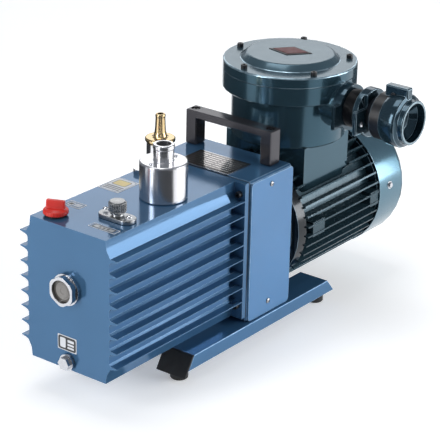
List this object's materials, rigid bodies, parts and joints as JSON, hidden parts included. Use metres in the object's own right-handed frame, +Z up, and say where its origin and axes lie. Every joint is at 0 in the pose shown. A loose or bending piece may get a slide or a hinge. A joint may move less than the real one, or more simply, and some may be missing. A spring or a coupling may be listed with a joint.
{
  "type": "rotary vane vacuum pump",
  "caption": "Two-stage oil-sealed rotary vane vacuum pump: finned blue oil box, coupling bracket with carry handle, base rails, and a flameproof motor with terminal box and cable gland.",
  "frame": {"origin": "on the floor, under the middle of the whole machine's box", "axes": "+Y from the oil box's front face towards the motor, along the shaft; +X towards the cable gland; +Z up"},
  "size_m": [0.2906, 0.63, 0.3478],
  "materials": {
    "blue_paint": "glossy mid-blue paint on cast aluminium and sheet steel",
    "motor_paint": "semi-gloss dark teal-grey paint",
    "polished_metal": "turned and polished, bright",
    "brass": "polished",
    "copper": "annealed copper washer",
    "steel": "machined",
    "cast_iron": "ground faces, as-cast sides",
    "black_plastic": "satin black moulding",
    "rubber": "black rubber",
    "red_plastic": "moulded red, slightly glossy",
    "coupling_rubber": "dull red elastomer",
    "vane_fibre": "pressed fibre composite",
    "glass": "clear sight glass",
    "terminal_resin": "moulded resin"
  },
  "bodies": {
    "frame": {"oil_box": "blue_paint", "bracket": "blue_paint", "side_plate_right": "blue_paint", "side_plate_left": "blue_paint", "rail_right": "blue_paint", "rail_left": "blue_paint", "motor_front_shield": "motor_paint", "motor_housing": "motor_paint", "motor_rear_shield": "motor_paint", "fan_cowl": "motor_paint", "terminal_box": "motor_paint", "terminal_cover": "motor_paint", "gland_entry": "motor_paint", "gland_clamp": "motor_paint", "gland_bell": "motor_paint", "exhaust_trap": "polished_metal", "inlet_flange": "polished_metal", "ballast_flange": "polished_metal", "sight_glass_nut": "polished_metal", "hose_barb": "brass", "data_plate": "steel", "mid_plate": "steel", "pump_back_plate": "steel", "exhaust_valve": "steel", "front_bearing": "steel", "rear_bearing": "steel", "pump_end_cover": "cast_iron", "front_stator": "cast_iron", "rear_stator": "cast_iron", "stator_core": "cast_iron", "handle": "black_plastic", "box_gasket": "rubber", "shaft_seal": "rubber", "rail_cap_right": "rubber", "rail_cap_left": "rubber", "foot_front_right": "rubber", "foot_front_left": "rubber", "foot_rear_right": "rubber", "foot_rear_left": "rubber", "sight_glass_lens": "glass", "terminal_block": "terminal_resin"},
    "shaft_line": {"motor_shaft": "steel", "rotor_core": "steel", "motor_fan": "black_plastic", "coupling_hub_motor": "steel", "coupling_spider": "coupling_rubber", "coupling_hub_pump": "steel", "coupling_fan": "black_plastic", "rear_rotor": "steel", "front_rotor": "steel", "front_vane_a": "vane_fibre", "front_vane_b": "vane_fibre", "rear_vane_a": "vane_fibre", "rear_vane_b": "vane_fibre"},
    "filler_seal": {"filler_seal": "rubber"},
    "filler_cap": {"filler_cap": "red_plastic"},
    "ballast_knob": {"ballast_knob": "polished_metal"},
    "drain_washer": {"drain_washer": "copper"},
    "drain_plug": {"drain_plug": "polished_metal"}
  },
  "joints": [
    {"name": "shaft_spin", "type": "hinge", "parent": "frame", "child": "shaft_line", "pos_m": [-0.0537, 0.147, 0.1305], "axis": [0, 1, 0], "continuous": true},
    {"name": "filler_lift", "type": "slide", "parent": "frame", "child": "filler_seal", "axis": [0, 0, 1], "range_m": [0, 0.009]},
    {"name": "filler_turn", "type": "hinge", "parent": "filler_seal", "child": "filler_cap", "pos_m": [-0.0907, -0.2813, 0.2375], "axis": [0, 0, 1], "range_deg": [0, 1080]},
    {"name": "ballast_turn", "type": "hinge", "parent": "frame", "child": "ballast_knob", "pos_m": [-0.0262, -0.2425, 0.243], "axis": [0, 0, 1], "range_deg": [0, 180]},
    {"name": "drain_slide", "type": "slide", "parent": "frame", "child": "drain_washer", "axis": [0, -1, 0], "range_m": [0, 0.009]},
    {"name": "drain_turn", "type": "hinge", "parent": "drain_washer", "child": "drain_plug", "pos_m": [-0.0537, -0.3038, 0.0575], "axis": [0, -1, 0], "range_deg": [0, 2160]}
  ],
  "couplings": [
    {"joint": "filler_turn", "follows": "filler_lift", "rad_per_m": 2094.4},
    {"joint": "drain_turn", "follows": "drain_slide", "rad_per_m": 4188.8}
  ]
}
